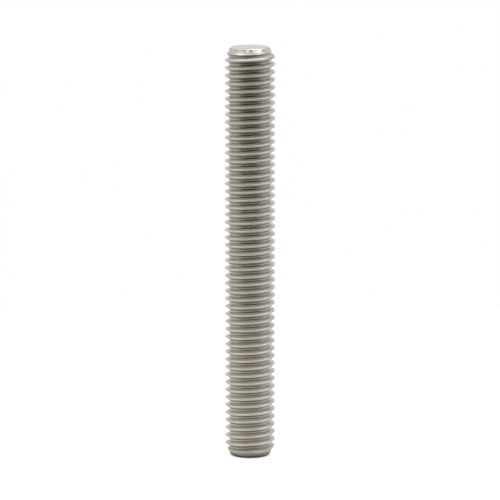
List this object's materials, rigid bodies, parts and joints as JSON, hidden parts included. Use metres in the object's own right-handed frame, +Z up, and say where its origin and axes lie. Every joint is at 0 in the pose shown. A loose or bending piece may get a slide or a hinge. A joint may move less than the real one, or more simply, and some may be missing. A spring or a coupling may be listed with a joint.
{
  "type": "threaded rod",
  "caption": "Fully threaded steel rod with a right-hand metric coarse thread and a chamfer at each end, for joining or hanging parts with nuts.",
  "frame": {"origin": "centre of the lower end face, on the rod's axis", "axes": "+Z up the rod's axis, X and Y square to it; the rod is the same all round but for the turn of its thread"},
  "size_m": [0.0098, 0.0098, 0.08],
  "materials": {
    "rolled_steel": "satin thread-rolled stainless steel, turned chamfers and faced ends"
  },
  "bodies": {
    "root": {"threaded_rod": "rolled_steel"}
  },
  "joints": []
}
